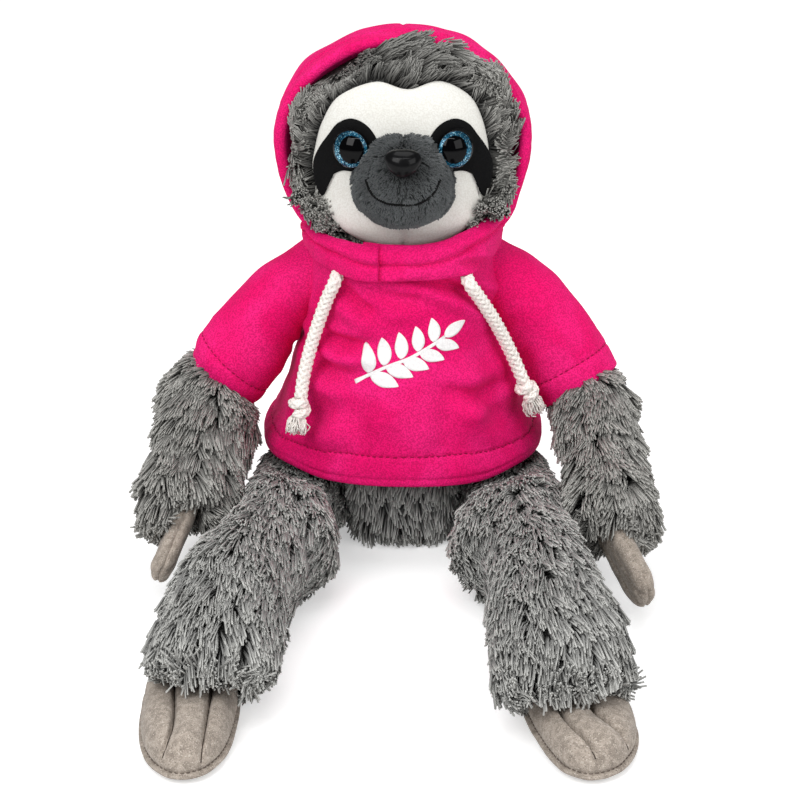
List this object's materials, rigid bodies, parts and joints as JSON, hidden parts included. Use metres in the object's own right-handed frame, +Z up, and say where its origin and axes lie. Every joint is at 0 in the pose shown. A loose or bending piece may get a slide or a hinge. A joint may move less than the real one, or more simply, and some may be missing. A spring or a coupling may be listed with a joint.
{
  "type": "plush sloth",
  "caption": "Seated long-pile plush sloth with a white face, suede hands and feet, and a hooded sweatshirt with drawcords.",
  "frame": {"origin": "on the floor under the seat, at the centre of the flat seat face", "axes": "+Z up, the toy faces -Y with its legs along -Y, and +X is the toy's own left"},
  "size_m": [0.2416, 0.3333, 0.2531],
  "materials": {
    "fur": "long pile",
    "velour_pink": "velour",
    "velour_white": "velour",
    "plush_dark": "short plush",
    "felt_black": "felt",
    "suede_beige": "suede",
    "stuffing": "loose fibre",
    "plastic_black": "gloss",
    "plastic_white": "satin",
    "iris_blue": "glitter film",
    "clear_dome": "clear",
    "thread_black": "embroidery",
    "cotton_cord": "braided",
    "pellet_cloth": "woven"
  },
  "bodies": {
    "torso": {"torso_cover": "fur", "torso_filling": "stuffing", "seat_pellet_bag": "pellet_cloth", "shirt": "velour_pink", "neck_band": "velour_pink", "drawcord_right": "cotton_cord", "drawcord_left": "cotton_cord", "drawcord_knot_right": "cotton_cord", "drawcord_knot_left": "cotton_cord"},
    "neck": {"neck_filling": "stuffing"},
    "head": {"head_cover": "fur", "head_filling": "stuffing", "face_panel": "velour_white", "muzzle": "plush_dark", "nose": "plastic_black", "nose_washer": "plastic_white", "mouth_stitch": "thread_black", "hood": "velour_pink", "eye_patch_right": "felt_black", "eye_back_right": "plastic_black", "eye_iris_right": "iris_blue", "eye_dome_right": "clear_dome", "eye_washer_right": "plastic_white", "eye_patch_left": "felt_black", "eye_back_left": "plastic_black", "eye_iris_left": "iris_blue", "eye_dome_left": "clear_dome", "eye_washer_left": "plastic_white"},
    "arm_right": {"arm_cover_right": "fur", "arm_filling_right": "stuffing", "sleeve_right": "velour_pink"},
    "hand_right": {"hand_right": "suede_beige"},
    "leg_right": {"leg_cover_right": "fur", "leg_filling_right": "stuffing"},
    "foot_right": {"foot_right": "suede_beige"},
    "arm_left": {"arm_cover_left": "fur", "arm_filling_left": "stuffing", "sleeve_left": "velour_pink"},
    "hand_left": {"hand_left": "suede_beige"},
    "leg_left": {"leg_cover_left": "fur", "leg_filling_left": "stuffing"},
    "foot_left": {"foot_left": "suede_beige"}
  },
  "joints": [
    {"name": "neck_turn", "type": "hinge", "parent": "torso", "child": "neck", "pos_m": [0, 0, 0.15], "axis": [0, 0, 1], "range_deg": [-25, 25]},
    {"name": "head_nod", "type": "hinge", "parent": "neck", "child": "head", "pos_m": [0, 0, 0.15], "axis": [1, 0, 0], "range_deg": [-10, 10]},
    {"name": "shoulder_right", "type": "hinge", "parent": "torso", "child": "arm_right", "pos_m": [-0.052, -0.005, 0.117], "axis": [0, 1, 0], "range_deg": [0, 80]},
    {"name": "shoulder_left", "type": "hinge", "parent": "torso", "child": "arm_left", "pos_m": [0.052, -0.005, 0.117], "axis": [0, -1, 0], "range_deg": [0, 80]},
    {"name": "wrist_right", "type": "hinge", "parent": "arm_right", "child": "hand_right", "pos_m": [-0.101, -0.073, 0.038], "axis": [-0.2643, 0.4778, -0.8378], "range_deg": [-12, 12]},
    {"name": "wrist_left", "type": "hinge", "parent": "arm_left", "child": "hand_left", "pos_m": [0.095, -0.099, 0.037], "axis": [0.2866, 0.5385, -0.7924], "range_deg": [-12, 12]},
    {"name": "hip_right", "type": "hinge", "parent": "torso", "child": "leg_right", "pos_m": [-0.05, -0.02, 0.0245], "axis": [1, 0, 0], "range_deg": [0, 85]},
    {"name": "hip_left", "type": "hinge", "parent": "torso", "child": "leg_left", "pos_m": [0.05, -0.02, 0.0245], "axis": [1, 0, 0], "range_deg": [0, 85]},
    {"name": "ankle_right", "type": "hinge", "parent": "leg_right", "child": "foot_right", "pos_m": [-0.083, -0.208, 0.01], "axis": [-0.9994, 0.0349, 0], "range_deg": [-10, 20]},
    {"name": "ankle_left", "type": "hinge", "parent": "leg_left", "child": "foot_left", "pos_m": [0.058, -0.212, 0.01], "axis": [-0.866, -0.5, 0], "range_deg": [-10, 20]}
  ]
}
